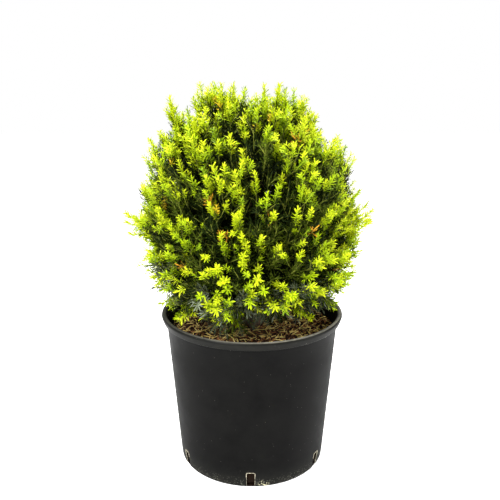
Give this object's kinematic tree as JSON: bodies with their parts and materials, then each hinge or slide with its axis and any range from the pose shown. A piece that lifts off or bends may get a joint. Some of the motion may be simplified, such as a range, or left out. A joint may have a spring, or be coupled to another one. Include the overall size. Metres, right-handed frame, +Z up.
{
  "type": "potted clipped yew ball",
  "caption": "Clipped ball of yew, dense with short needled shoots, growing on a short stem in a round black nursery pot with a rolled rim and drainage slots.",
  "frame": {"origin": "middle of the pot's flat underside", "axes": "+Z up along the pot's axis; the plant's front faces -Y, with its left on -X"},
  "size_m": [0.3865, 0.3664, 0.5816],
  "materials": {
    "black_plastic": "dull black moulded plastic, lightly scuffed",
    "potting_mix": "loose damp bark and coir chips",
    "bark": "thin flaking reddish brown bark",
    "yew_needles": "soft flat needles, yellow-green when new and dark green when old"
  },
  "bodies": {
    "root": {"pot": "black_plastic", "potting_mix": "potting_mix", "trunk": "bark", "bough_upper_1": "bark", "bough_upper_2": "bark", "bough_upper_3": "bark", "bough_upper_4": "bark", "bough_upper_5": "bark", "bough_lower_1": "bark", "bough_lower_2": "bark", "bough_lower_3": "bark", "bough_lower_4": "bark", "bough_lower_5": "bark", "foliage_top": "yew_needles", "foliage_upper_1": "yew_needles", "foliage_upper_2": "yew_needles", "foliage_upper_3": "yew_needles", "foliage_upper_4": "yew_needles", "foliage_upper_5": "yew_needles", "foliage_lower_1": "yew_needles", "foliage_lower_2": "yew_needles", "foliage_lower_3": "yew_needles", "foliage_lower_4": "yew_needles", "foliage_lower_5": "yew_needles"}
  },
  "joints": []
}
